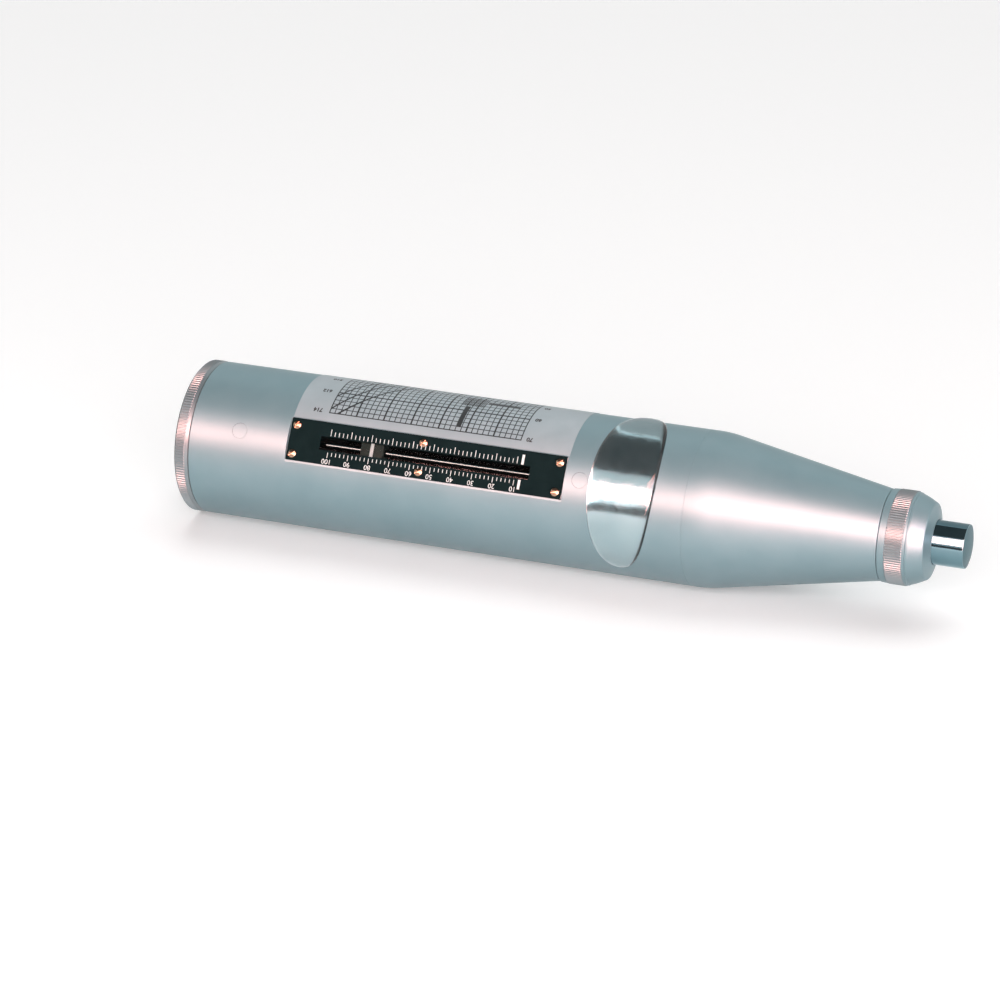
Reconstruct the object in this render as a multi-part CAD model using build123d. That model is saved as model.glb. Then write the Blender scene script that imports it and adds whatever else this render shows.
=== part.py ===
# Concrete test hammer (rebound hammer), lying on its side with the plunger pushed in.
# The axis of the hammer runs along X with the plunger tip at +X, and Z is up.
# Lengths are in millimetres. Stations along the axis are counted from the rear face.

import os
from math import asin, cos, pi, radians, sin, sqrt

from build123d import *

os.makedirs("parts", exist_ok=True)

# Directions round the axis, in degrees: 0 faces the front (-Y), 90 is straight up
window_angle = 31.1
button_angle = window_angle + 180
pawl_angle = window_angle + 90
badge_angle = 33.4

# Housing
tube_radius = 26.53
bore_radius = 23.0
cover_radius = 26.64
tube_start = 5.5
tube_end = 184.0
cone_corner = 189.1
cone_end = 247.5
cone_end_radius = 15.38
corner_round = 40.0
spigot_gap = 0.1

# Nose cap
cap_radius = 15.8
cap_band = (250.2, 256.2)
cap_front = 264.1
cap_shoulder = (262.0, 13.15)
cap_ridges = 90

# Rear cover
cover_band = (0.45, 4.0)
cover_ridges = 120
cover_floor = (3.4, 9.5)
cover_spigot_end = 15.5

# Plunger and guide bar
plunger_radius = 7.5
plunger_rear = 182.1
plunger_edge = 274.7
tip_sphere = 25.0
collar_radius = 9.0
collar_length = 3.0
bar_radius = 4.5
bar_front = 203.0

# Guide disk, at the rear end of its travel
disk_rear = 38.0
disk_front = 44.0
disk_radius = 22.9

# Hammer mass, at rest against the plunger
mass_radius = 19.5
mass_rim = 136.2
mass_shoulder = 174.0
mass_front = 182.0
mass_spigot_radius = 10.7
flange_radius = 9.3
flange_rear = 126.5
flange_front = 130.0
neck_radius = 6.0

# Pawl
pawl_x = 41.0
pawl_r = 11.5
pawl_thickness = 3.9

# Scale plate and window, measured along the axis and outward from the axis
plate_x = (41.8, 141.6)
plate_width = 14.8
flat_height = 25.3
plate_face = 25.86
slot_x = (53.35, 129.1)
slot_width = 4.6
pane_x = (51.0, 131.5)
pane_width = 7.6
pane_height = (24.5, 25.28)
tube_slot_x = (52.4, 130.1)
tube_slot_width = 6.0
screw_stations = (43.7, 90.0, 139.0)
screw_offset = 5.0
screw_head_radius = 1.62
screw_shank_radius = 0.9

# Rider on its rod, standing at the 80 mark of the scale
mark_zero = 131.76
mark_pitch = 0.75
rider_reading = 80
rider_x = mark_zero - mark_pitch * rider_reading
rider_length = 8.3
rider_width = 5.5
rod_radius = 1.2
rod_height = 21.6
plug_stations = (23.7, 147.2)
plug_radius = 2.65

# Push button, in its released state
button_x = 47.0
button_cap_radius = 3.5
button_flange_radius = 4.2
button_stem_radius = 2.0
button_top = 32.4
bush_radius = 6.5

# Label and badge
label_x = (42.0, 142.0)
label_angles = (50.3, 190.7)
label_thickness = 0.12
badge_x = 162.0
badge_half_length = 11.6
badge_half_angle = 70.6
badge_height = 1.6
foil_thickness = 0.15

# Radial room of sliding fits, and straight lengths in one turn of a spring
running_fit = 0.05
coil_steps = 12


def outward(angle):
    """Turns a piece drawn upright (+Z outward, +Y along the girth) to its direction."""
    return Rot(90 - angle, 0, 0)


def turned(points):
    """A turned piece: a closed outline of (station, radius) points spun round the axis."""
    outline = Polyline(*[(x, r) for x, r in points], close=True)
    return revolve(make_face(outline), Axis.X)


def rod_along(x0, x1, radius, y=0, z=0):
    """A plain round bar along the axis."""
    bar = Cylinder(radius, x1 - x0, align=(Align.CENTER, Align.CENTER, Align.MIN))
    return Pos(x0, y, z) * Rot(0, 90, 0) * bar


def ring_along(x0, x1, inner, outer):
    """A plain washer or sleeve round the axis."""
    return turned([(x0, inner), (x1, inner), (x1, outer), (x0, outer)])


def post(x, z0, z1, radius, y=0):
    """A round post that stands outward from the axis at one station."""
    pin = Cylinder(radius, z1 - z0, align=(Align.CENTER, Align.CENTER, Align.MIN))
    return Pos(x, y, z0) * pin


def block(x0, x1, width, z0, z1):
    """A square block, centred across the girth."""
    body = Box(x1 - x0, width, z1 - z0, align=(Align.MIN, Align.CENTER, Align.MIN))
    return Pos(x0, 0, z0) * body


def ridged(x0, x1, tip, valley, count):
    """A band of straight ridges that running_fit along the axis."""
    points = []
    for i in range(2 * count):
        turn = pi * i / count
        radius = tip if i % 2 == 0 else valley
        points.append((x0, radius * cos(turn), radius * sin(turn)))
    return extrude(make_face(Polyline(*points, close=True)), x1 - x0, dir=(1, 0, 0))


def coil(x0, x1, mean, wire, turns, sides=4):
    """A coil spring of constant pitch; x0 and x1 are the outsides of its end turns."""
    advance = (x1 - x0 - wire) / (turns * coil_steps)
    points = []
    for i in range(turns * coil_steps + 1):
        turn = 2 * pi * i / coil_steps
        points.append((x0 + wire / 2 + i * advance, mean * sin(turn), mean * cos(turn)))
    path = Polyline(*points)
    section = Plane(origin=path @ 0, z_dir=path % 0) * RegularPolygon(wire / 2, sides)
    return sweep(section, path=path, transition=Transition.RIGHT)


solids = {}


def keep(name, shape):
    """Stores a finished piece under its name."""
    solids[name] = shape


# Housing tube: a long round shell, flat and slotted under the scale plate
tube = turned(
    [
        (tube_start, bore_radius),
        (tube_end, bore_radius),
        (tube_end, tube_radius),
        (tube_start + 0.25, tube_radius),
        (tube_start, tube_radius - 0.25),
    ]
)
flat = block(plate_x[0] - 0.2, plate_x[1] + 0.2, 2 * tube_radius, flat_height, tube_radius + 1)
pane_seat = block(pane_x[0] - 0.1, pane_x[1] + 0.1, pane_width + 0.2, pane_height[0] - 0.02, 27)
tube_slot = block(*tube_slot_x, tube_slot_width, 15, 27)
cuts = [flat, pane_seat, tube_slot]
for x in screw_stations:
    for side in (-1, 1):
        cuts.append(post(x, 15, 27, screw_shank_radius + running_fit, side * screw_offset))
for x in plug_stations:
    cuts.append(post(x, 15, 28, plug_radius))
tube = tube - outward(window_angle) * Compound(cuts)
tube = tube - outward(button_angle) * post(button_x, 10, 30, bush_radius)
keep("housing_tube", tube)

# Nose cone: the tapered front of the housing, with a spigot into the tube and a thread neck
slope = (tube_radius - cone_end_radius) / (cone_end - cone_corner)
taper = asin(slope / sqrt(1 + slope**2))
reach = corner_round * (1 - cos(taper)) / sin(taper)
bend = (cone_corner - reach, tube_radius)
after = (cone_corner + reach * cos(taper), tube_radius - reach * sin(taper))
middle = (
    bend[0] + corner_round * sin(taper / 2),
    tube_radius - corner_round * (1 - cos(taper / 2)),
)
inside = [
    (252.8, 12.7),
    (252.8, 11.45),
    (244.1, 11.45),
    (244.1, 13.8),
    (236.0, 15.0),
    (191.0, 20.6),
    (176.0, 20.6),
    (176.0, bore_radius - spigot_gap),
    (tube_end, bore_radius - spigot_gap),
    (tube_end, tube_radius),
    bend,
]
cone_profile = Polyline(after, (cone_end, cone_end_radius), (cone_end, 12.7), *inside)
cone_profile += ThreePointArc(bend, middle, after)
keep("nose_cone", revolve(make_face(cone_profile), Axis.X))

# Nose cap: knurled ring with a sloping shoulder and a shallow front, screwed on the neck of the cone
cap_profile = Polyline(
    (cap_shoulder[0] + 0.8, 12.25),
    (cap_front - 0.15, 8.55),
    (cap_front, 8.2),
    (cap_front, 0),
    (cone_end + 0.08, 0),
    (cone_end + 0.08, cap_radius - 0.45),
    (cone_end + 0.4, cap_radius - 0.15),
    (cap_band[0] - 0.15, cap_radius - 0.02),
    (cap_band[0] - 0.15, cap_radius - 0.4),
    (cap_band[1] + 0.15, cap_radius - 0.4),
    (cap_band[1] + 0.15, cap_radius - 0.2),
    (257.0, cap_radius - 0.25),
    (257.15, cap_radius - 0.6),
    (257.6, cap_radius - 0.6),
)
cap_profile += ThreePointArc((257.6, cap_radius - 0.6), (260.0, 14.25), cap_shoulder)
cap_profile += ThreePointArc(
    cap_shoulder, (cap_shoulder[0] + 0.5, 12.82), (cap_shoulder[0] + 0.8, 12.25)
)
nose_cap = revolve(make_face(cap_profile), Axis.X)
knurl = ridged(*cap_band, cap_radius + 0.15, cap_radius - 0.3, cap_ridges)
knurl -= rod_along(250, 257, cap_radius - 0.4)
cavity = turned(
    [
        (247, 0),
        (247, 12.8),
        (255.0, 12.8),
        (255.0, 9.3),
        (260.4, 9.3),
        (260.4, plunger_radius + running_fit),
        (261.1, plunger_radius + running_fit),
        (261.1, 9.8),
        (262.95, 9.8),
        (262.95, plunger_radius + running_fit),
        (266, plunger_radius + running_fit),
        (266, 0),
    ]
)
keep("nose_cap", nose_cap + knurl - cavity)
keep("felt_washer", ring_along(261.15, 262.9, plunger_radius + running_fit, 9.75))

# Two-part ring that holds the guide sleeve against the end of the neck
ring = ring_along(252.85, 254.3, 10.25, 12.5)
halves = [ring & Pos(253, side * 10.05, 0) * Box(10, 20, 40) for side in (-1, 1)]
keep("two_part_ring", Compound([half.solid() for half in halves]))

# Guide sleeve, to which the front of the impact spring is hooked
sleeve = turned(
    [
        (236, 9.2),
        (254.9, 9.2),
        (254.9, 11.35),
        (254.4, 11.35),
        (254.4, 10.15),
        (252.8, 10.15),
        (252.8, 11.4),
        (244.2, 11.4),
        (244.2, 10.8),
        (236, 10.8),
    ]
)
keep("guide_sleeve", sleeve)
keep("impact_spring", coil(mass_shoulder + 0.1, 244.1, 12.5, 2.2, 12, 6))

# Rear cover: knurled cap with the trip screw and its lock nut in the middle
cover = turned(
    [
        (0, 12.0),
        (0, 25.9),
        (cover_band[0], 26.2),
        (cover_band[0], 25.5),
        (cover_band[1], 25.5),
        (cover_band[1], 26.2),
        (5.1, 26.2),
        (5.4, 25.9),
        (5.4, bore_radius - spigot_gap),
        (cover_spigot_end, bore_radius - spigot_gap),
        (cover_spigot_end, 19.0),
        (cover_floor[1], 19.0),
        (cover_floor[1], 0),
        (cover_floor[0], 0),
        (cover_floor[0], 12.0),
    ]
)
band = ridged(*cover_band, cover_radius, cover_radius - 0.4, cover_ridges)
cover += band - rod_along(-1, 6, 25.5)
cover -= rod_along(-1, 12, 4.05)
keep("rear_cover", cover)

screw = turned(
    [(0.6, 0), (0.6, 3.7), (0.9, 4.0), (22, 4.0), (23.5, 2.5), (30.7, 2.5), (31.2, 2.0), (31.2, 0)]
)
screw -= Pos(0.6, 0, 0) * Box(2.4, 10, 1.1)
keep("trip_screw", screw)
nut = Pos(0.35, 0, 0) * Rot(0, 90, 0) * extrude(RegularPolygon(6.5, 6, major_radius=False), 3.0)
nut = nut & turned([(0.3, 0), (0.3, 6.7), (0.9, 7.6), (3.4, 7.6), (3.4, 0)])
keep("trip_locknut", nut - rod_along(-1, 6, 4.05))
keep("return_spring", coil(cover_floor[1] + 0.05, disk_rear - 0.05, 16.6, 1.6, 6, 6))

# Carriage: plunger, guide bar, guide disk and the buffer spring between bar and plunger
plunger_tip = plunger_edge + tip_sphere - sqrt(tip_sphere**2 - (plunger_radius - 0.3) ** 2)
plunger_profile = Polyline(
    (plunger_tip, 0),
    (plunger_rear, 0),
    (plunger_rear, collar_radius - 0.3),
    (plunger_rear + 0.3, collar_radius),
    (plunger_rear + collar_length, collar_radius),
    (plunger_rear + collar_length, plunger_radius),
    (plunger_edge - 0.3, plunger_radius),
    (plunger_edge, plunger_radius - 0.3),
)
halfway_out = 3.6
crown = plunger_tip - tip_sphere + sqrt(tip_sphere**2 - halfway_out**2)
plunger_profile += ThreePointArc(
    (plunger_edge, plunger_radius - 0.3), (crown, halfway_out), (plunger_tip, 0)
)
plunger = revolve(make_face(plunger_profile), Axis.X)
keep("plunger", plunger - rod_along(plunger_rear - 1, 221, bar_radius + running_fit))
bar_outline = [(38.6, 0), (38.6, bar_radius), (bar_front - 0.5, bar_radius), (bar_front, 4.0)]
keep("guide_bar", turned([*bar_outline, (bar_front, 0)]))
keep("buffer_spring", coil(bar_front + 0.05, 220.9, 3.6, 1.3, 5))

disk = ring_along(disk_rear, disk_front, bar_radius + 0.02, disk_radius)
disk -= outward(window_angle) * block(30, 50, 7.2, 17.6, 30)
notch = block(30, 50, pawl_thickness + 0.6, 8.6, 30)
pin_hole = Pos(pawl_x, 0, pawl_r) * Rot(90, 0, 0) * Cylinder(1.0 + 0.02, 14)
pocket = rod_along(30, 40.5, 1.62, 0, 6.5)
disk -= outward(pawl_angle) * Compound([notch, pin_hole, pocket])
keep("guide_disk", disk)

# Pawl: a rocking lever with a hook in front and a tail behind the disk
pin = Pos(pawl_x, 0, pawl_r) * Rot(90, 0, 0) * Cylinder(1.0, 14)
keep("pawl_pin", outward(pawl_angle) * pin)
pawl_side = Polyline(
    (55.3, 12.6),
    (55.3, 7.3),
    (55.6, 7.0),
    (57.0, 7.0),
    (58.5, 9.9),
    (58.5, 13.4),
    (57.4, 14.0),
    (42.0, 14.0),
    (32.2, 14.0),
    (31.5, 13.3),
    (31.5, -0.9),
    (32.1, -1.5),
    (33.9, -1.5),
    (34.5, -0.9),
    (34.5, 9.6),
    (35.4, 10.6),
    (38.8, 10.6),
    (39.9, 9.1),
    (42.1, 9.1),
    (43.2, 10.6),
    (46.0, 11.4),
    (53.9, 11.4),
    close=True,
)
lever = extrude(Plane.XZ * make_face(pawl_side), pawl_thickness / 2, both=True)
lever -= Pos(pawl_x, 0, pawl_r) * Rot(90, 0, 0) * Cylinder(1.0 + running_fit, 14)
keep("pawl", outward(pawl_angle) * lever)
keep("pawl_spring", outward(pawl_angle) * Pos(0, 0, 6.5) * coil(34.55, 40.45, 1.25, 0.45, 4))

# Hammer mass: a heavy sleeve on the guide bar, with a hooked neck and a spring spigot
mass = turned(
    [
        (flange_rear, bar_radius + running_fit),
        (flange_rear, flange_radius - 1.6),
        (flange_rear + 1.6, flange_radius),
        (flange_front, flange_radius),
        (flange_front, neck_radius),
        (mass_rim, neck_radius),
        (mass_rim, mass_radius - 0.5),
        (mass_rim + 0.5, mass_radius),
        (mass_shoulder - 1.5, mass_radius),
        (mass_shoulder, mass_radius - 1.5),
        (mass_shoulder, mass_spigot_radius),
        (mass_front, mass_spigot_radius),
        (mass_front, bar_radius + running_fit),
    ]
)
keep("hammer_mass", mass)

# Scale plate, window pane and the six countersunk screws
plate = block(*plate_x, plate_width, flat_height, plate_face)
plate = fillet(plate.edges().filter_by(Axis.Z), 0.5)
plate -= block(*slot_x, slot_width, 20, 30)
screws = []
for x in screw_stations:
    for side in (-1, 1):
        y = side * screw_offset
        plate -= post(x, 20, 30, screw_head_radius + 0.04, y)
        head = post(x, flat_height + 0.01, plate_face + 0.05, screw_head_radius, y)
        shank = post(x, 23.6, flat_height + 0.02, screw_shank_radius, y)
        groove = Pos(x, y, plate_face) * Rot(0, 0, 35 * side + x) * Box(4, 0.45, 0.4)
        screws.append((head + shank - groove).solid())
keep("scale_plate", outward(window_angle) * plate)
keep("scale_plate_screws", outward(window_angle) * Compound(screws))
keep("window_pane", outward(window_angle) * block(*pane_x, pane_width, *pane_height))

# Rider rod, held at both ends by round plugs that lie flush in the tube
rod = rod_along(plug_stations[0] - 2, plug_stations[1] + 2, rod_radius, 0, rod_height)
keep("rider_rod", outward(window_angle) * rod)
plugs = []
for x in plug_stations:
    plug = post(x, 19.9, 30, plug_radius) & rod_along(x - 5, x + 5, tube_radius)
    hole = rod_along(x - 5, x + 5, rod_radius + 0.01, 0, rod_height)
    plugs.append((plug - hole).solid())
keep("rod_plugs", outward(window_angle) * Compound(plugs))

# Rider: block on the rod, friction leaf under the rod, and a white index line on top
rider_ends = (rider_x - rider_length / 2, rider_x + rider_length / 2)
rider = block(*rider_ends, rider_width, 19.0, 24.25)
rider += block(rider_ends[1] - 1.6, rider_ends[1], 3.6, 18.2, 19.1)
rider -= rod_along(60, 90, rod_radius + running_fit, 0, rod_height)
rider -= block(rider_x - 3.3, rider_x + 3.3, 2.4, 19.4, rod_height)
keep("rider_block", outward(window_angle) * rider)
low = 19.5
high = rod_height - rod_radius - 0.03
leaf_line = [(rider_x - 3.1, low), (rider_x, high - 0.2), (rider_x + 3.1, low)]
leaf_view = ThreePointArc(*leaf_line)
leaf_view += ThreePointArc(*[(x, r + 0.2) for x, r in leaf_line])
leaf_view += Line((rider_x - 3.1, low), (rider_x - 3.1, low + 0.2))
leaf_view += Line((rider_x + 3.1, low), (rider_x + 3.1, low + 0.2))
leaf = extrude(Plane.XZ * make_face(leaf_view), 1.0, both=True)
keep("rider_leaf", outward(window_angle) * leaf)
keep("rider_index", outward(window_angle) * block(rider_x - 0.55, rider_x + 0.55, 5.0, 24.25, 24.4))

# Push button on the far side: bush, collar, button and its spring
bush = post(button_x, 23.6, 29.4, bush_radius)
bush -= post(button_x, 20, 30, button_stem_radius + running_fit)
bush -= post(button_x, 24.4, 30, 4.3)
bush -= post(button_x, 28.6, 30, 5.2)
keep("button_bush", outward(button_angle) * bush)
collar = post(button_x, 28.6, 29.7, 5.2) - post(button_x, 20, 32, button_cap_radius + 0.1)
keep("button_collar", outward(button_angle) * collar)
button = post(button_x, 28.4, button_top, button_cap_radius)
button = fillet(button.edges().group_by(Axis.Z)[-1], 0.6)
button += post(button_x, 27.5, 28.5, button_flange_radius)
button -= post(button_x, 27, 30.6, 3.05)
button += post(button_x, 23.2, 31, button_stem_radius)
keep("push_button", outward(button_angle) * button)
spring = Pos(button_x, 0, 0) * Rot(0, -90, 0) * coil(24.45, 30.55, 2.55, 0.45, 4)
keep("button_spring", outward(button_angle) * spring)

# Chart label: a thin foil wrapped over the top of the tube
sleeve = ring_along(*label_x, tube_radius, tube_radius + label_thickness)
wedge_points = [(label_x[0] - 1, 0, 0)]
for k in range(4):
    turn = radians(label_angles[0] + k / 3 * (label_angles[1] - label_angles[0]))
    wedge_points.append((label_x[0] - 1, -60 * cos(turn), 60 * sin(turn)))
wedge = extrude(make_face(Polyline(*wedge_points, close=True)), 105, dir=(1, 0, 0))
keep("chart_label", sleeve & wedge)

# Oval badge wrapped round the tube: a foil under a clear raised dome
foil_face = tube_radius + foil_thickness
badge_stations = 13


def badge_body(domed):
    """An oval body that stands through the tube wall, with a flat or a domed top."""
    sections = []
    for k in range(badge_stations):
        swing = radians(-84 + 168 * k / (badge_stations - 1))
        left = badge_x - badge_half_length * cos(swing)
        right = badge_x + badge_half_length * cos(swing)
        edge = foil_face + 0.3 if domed else 30.0
        sides = Polyline((left, edge), (left, 25.5), (right, 25.5), (right, edge))
        if domed:
            top = foil_face + 0.5 + (badge_height - 0.5) * sqrt(cos(swing))
            closing = ThreePointArc((left, edge), (badge_x, top), (right, edge))
        else:
            closing = Line((left, edge), (right, edge))
        face = Plane.XZ * make_face(sides + closing)
        sections.append(outward(badge_angle + badge_half_angle * sin(swing)) * face)
    return loft(sections)


keep("badge_foil", badge_body(domed=False) & ring_along(140, 185, tube_radius, foil_face))
keep("badge_dome", badge_body(domed=True) - rod_along(140, 185, foil_face + 0.01))

# Everything is set down on the floor, with the origin under the middle of the hammer
bounds = Compound(list(solids.values())).bounding_box()
place = Pos(-bounds.center().X, -bounds.center().Y, -bounds.min.Z)
print("place of the axis", place.position)
for name, shape in solids.items():
    shape = place * shape
    export_step(shape, f"parts/{name}.step")
    print(name, len(shape.solids()), round(shape.volume, 1), shape.is_valid)
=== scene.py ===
# Concrete test hammer: its visible pieces, finishes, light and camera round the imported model.
# Pieces are drawn in millimetres, with the axis of the housing along X and its rear face at zero.
# Directions round the housing are in degrees: 0 faces the front and 90 is straight up.

from math import asin, cos, pi, radians, sin, sqrt

import bpy
from mathutils import Matrix, Vector


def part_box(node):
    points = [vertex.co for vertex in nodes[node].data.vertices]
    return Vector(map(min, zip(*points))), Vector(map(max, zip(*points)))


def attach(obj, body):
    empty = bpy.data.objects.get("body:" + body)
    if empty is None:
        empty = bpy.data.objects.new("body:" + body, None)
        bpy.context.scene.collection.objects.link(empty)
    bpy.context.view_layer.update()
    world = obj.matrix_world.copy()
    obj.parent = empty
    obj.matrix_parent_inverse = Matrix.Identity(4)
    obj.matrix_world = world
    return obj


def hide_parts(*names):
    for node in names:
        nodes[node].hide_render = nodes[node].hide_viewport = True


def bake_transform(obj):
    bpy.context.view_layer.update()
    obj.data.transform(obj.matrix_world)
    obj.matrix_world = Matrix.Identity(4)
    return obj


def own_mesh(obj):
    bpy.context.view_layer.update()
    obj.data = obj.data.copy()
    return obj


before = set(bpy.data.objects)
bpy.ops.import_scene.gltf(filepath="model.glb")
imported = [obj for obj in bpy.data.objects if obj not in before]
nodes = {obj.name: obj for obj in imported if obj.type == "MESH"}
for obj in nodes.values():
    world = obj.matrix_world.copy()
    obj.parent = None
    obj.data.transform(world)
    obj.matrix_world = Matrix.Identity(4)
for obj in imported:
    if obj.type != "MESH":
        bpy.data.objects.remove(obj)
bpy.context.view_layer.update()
bpy.ops.object.select_all(action="DESELECT")

# Where the housing lies
mm = 0.001
plunger_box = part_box("plunger")
axis_middle = (plunger_box[0] + plunger_box[1]) / 2
axis_start = Vector((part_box("rear_cover")[0].x, axis_middle.y, axis_middle.z))
in_place = Matrix.Translation(axis_start) @ Matrix.Scale(mm, 4)

window_angle = 31.1
button_angle = window_angle + 180
pawl_angle = window_angle + 90
badge_angle = 35.4

# Housing, caps and plunger
tube_radius = 26.53
tube_end = 184.0
cone_corner = 189.1
cone_end = 247.5
cone_end_radius = 15.38
corner_round = 40.0
cover_ridges = 168
cover_knurl = (0.6, 3.9)
cover_valley = 26.40
cover_tip = 26.62
cap_ridges = 110
cap_knurl = (250.3, 256.1)
cap_valley = 15.70
cap_tip = 15.90
plunger_radius = 7.5
plunger_face = 274.7
tip_sphere = 25.0

# Scale plate, window and rider
plate_x = (41.8, 141.6)
plate_width = 14.8
flat_height = 25.3
flat_low_edge = -8.5
plate_face = 25.86
slot_x = (53.35, 129.1)
slot_width = 4.6
pane_x = (51.0, 131.5)
pane_width = 7.6
pane_height = (24.5, 25.28)
screw_stations = (43.7, 90.0, 139.0)
screw_offset = 5.0
screw_head = 1.45
screw_dome = 2.35
screw_slot = 0.38
screw_recess = 1.8
mark_zero = 131.76
mark_pitch = 0.75
mark_width = 0.22
mark_depth = 0.02
number_height = 1.65
rider_x = mark_zero - 80 * mark_pitch
rider_half_length = 4.15
index_width = 1.2
rod_height = 21.6
rod_radius = 1.2
plug_stations = (23.7, 147.2)
plug_radius = 2.65

# Label, badge and button
label_x = (42.0, 142.0)
label_angles = (47.9, 190.7)
label_face = tube_radius + 0.12
label_thickness = 0.11
badge_x = 162.0
badge_half_length = 11.6
badge_half_angle = 72.6
badge_tilt = 1.3
foil_height = 0.15
foil_face = tube_radius + foil_height
dome_height = 1.95
button_x = 47.0
bush_radius = 6.5


# Drawing helpers
digit_share = 0.69  # the height of a digit as a share of its letter size


def outward(angle):
    """Turns a piece drawn upright to its direction round the housing."""
    return Matrix.Rotation(radians(90 - angle), 4, "X")


def apply_place(piece, place=Matrix()):
    """Moves a piece and puts its place into its mesh."""
    bpy.context.view_layer.update()
    piece.matrix_world = place @ piece.matrix_world
    bpy.ops.object.select_all(action="DESELECT")
    piece.select_set(True)
    bpy.context.view_layer.objects.active = piece
    bpy.ops.object.transform_apply(location=True, rotation=True, scale=True)
    return piece


def pick(piece, test, kind="VERT"):
    """Goes into edit mode with only the vertices, edges or faces selected that pass a test."""
    bpy.context.view_layer.objects.active = piece
    bpy.ops.object.mode_set(mode="EDIT")
    bpy.ops.mesh.select_mode(type=kind)
    bpy.ops.mesh.select_all(action="DESELECT")
    bpy.ops.object.mode_set(mode="OBJECT")
    mesh = piece.data
    for part in {"VERT": mesh.vertices, "EDGE": mesh.edges, "FACE": mesh.polygons}[kind]:
        part.select = test(part)
    bpy.ops.object.mode_set(mode="EDIT")


def arc(start, end, radius, steps=10):
    """Points of a round stretch of outline that bulges outward between two points."""
    a, b = Vector(start), Vector(end)
    half = (b - a).length / 2
    inward = Vector((b.y - a.y, a.x - b.x)).normalized()
    centre = (a + b) / 2 + inward * sqrt(radius**2 - half**2)
    swing = 2 * asin(half / radius)
    turns = (Matrix.Rotation(-swing * i / steps, 2) for i in range(steps + 1))
    return [tuple(centre + turn @ (a - centre)) for turn in turns]


def turned(outline, sides=256):
    """A turned piece: a ring carried along the (station, radius) points of its outline."""
    x, radius = outline[0]
    bpy.ops.mesh.primitive_circle_add(
        vertices=sides, radius=radius, location=(x, 0, 0), rotation=(0, pi / 2, 0)
    )
    piece = bpy.context.object
    bpy.ops.object.mode_set(mode="EDIT")
    for (x0, r0), (x1, r1) in zip(outline, outline[1:]):
        bpy.ops.mesh.extrude_edges_move(TRANSFORM_OT_translate={"value": (x1 - x0, 0, 0)})
        bpy.ops.transform.resize(value=(1, r1 / r0, r1 / r0), center_override=(x1, 0, 0))
    bpy.ops.mesh.select_all(action="SELECT")
    bpy.ops.mesh.remove_doubles(threshold=0.001)
    bpy.ops.mesh.select_all(action="DESELECT")
    bpy.ops.mesh.select_non_manifold()
    bpy.ops.mesh.edge_face_add()
    bpy.ops.mesh.select_all(action="SELECT")
    bpy.ops.mesh.normals_make_consistent(inside=False)
    bpy.ops.object.mode_set(mode="OBJECT")
    return apply_place(piece)


def standing(outline, x, y=0, sides=64):
    """A turned piece that stands outward: its outline runs in (height, radius) points."""
    piece = turned(outline, sides)
    return apply_place(piece, Matrix.Translation((x, y, 0)) @ Matrix.Rotation(-pi / 2, 4, "Y"))


def block(x0, x1, width, z0, z1, y=0):
    """A square block, centred across the girth."""
    bpy.ops.mesh.primitive_cube_add(
        size=1, location=((x0 + x1) / 2, y, (z0 + z1) / 2), scale=(x1 - x0, width, z1 - z0)
    )
    return apply_place(bpy.context.object)


def cut(piece, *cutters, operation="DIFFERENCE"):
    """Takes the cutters out of a piece, or keeps only what lies inside them."""
    for cutter in cutters:
        change = piece.modifiers.new("cut", "BOOLEAN")
        change.operation = operation
        change.solver = "EXACT"
        change.object = cutter
        bpy.context.view_layer.objects.active = piece
        bpy.ops.object.modifier_apply(modifier="cut")
        bpy.data.objects.remove(cutter)


def ease(piece, width, segments=2, angle=25):
    """Takes the sharpness off the edges of a piece."""
    bevel = piece.modifiers.new("eased", "BEVEL")
    bevel.width = width
    bevel.segments = segments
    bevel.limit_method = "ANGLE"
    bevel.angle_limit = radians(angle)
    bpy.context.view_layer.objects.active = piece
    bpy.ops.object.modifier_apply(modifier="eased")
    return piece


def row(piece, count, step):
    """Repeats a piece along the housing."""
    copies = piece.modifiers.new("row", "ARRAY")
    copies.count = count
    copies.use_relative_offset = False
    copies.use_constant_offset = True
    copies.constant_offset_displace = (step, 0, 0)
    bpy.context.view_layer.objects.active = piece
    bpy.ops.object.modifier_apply(modifier="row")
    return piece


def joined(pieces):
    """Makes one piece of several."""
    bpy.ops.object.select_all(action="DESELECT")
    for piece in pieces:
        piece.select_set(True)
    bpy.context.view_layer.objects.active = pieces[0]
    bpy.ops.object.join()
    return bpy.context.object


def number(text, height, x, y, z, thickness=0.015, weight=0.0):
    """A number lying face up, to be read from the far side of the housing."""
    bpy.ops.object.text_add(location=(x, y, z), rotation=(0, 0, pi))
    letters = bpy.context.object
    letters.data.body = text
    letters.data.size = height / digit_share
    letters.data.align_x = "CENTER"
    letters.data.align_y = "CENTER"
    letters.data.extrude = thickness
    letters.data.offset = weight
    bpy.ops.object.select_all(action="DESELECT")
    letters.select_set(True)
    bpy.ops.object.convert(target="MESH")
    return apply_place(bpy.context.object)


def wrapped(piece, radius):
    """Rolls a flat piece round the housing and keeps its flat coordinates for its print."""
    mesh = piece.data
    flat = mesh.attributes.new("unrolled", "FLOAT_VECTOR", "POINT")
    for vertex, kept in zip(mesh.vertices, flat.data):
        kept.vector = vertex.co
        x, y, z = vertex.co
        turn = y / radius
        vertex.co = (x, (radius + z) * sin(turn), (radius + z) * cos(turn))
    return piece


def two_finishes(piece, usual, other, test):
    """Gives a piece its usual finish, and another one on the faces that pass a test."""
    piece.data.materials.append(usual)
    piece.data.materials.append(other)
    for face in piece.data.polygons:
        face.material_index = int(test(face))


def from_axis(face):
    """How far the middle of a face is from the axis of the housing."""
    return Vector(face.center.yz).length


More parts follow.
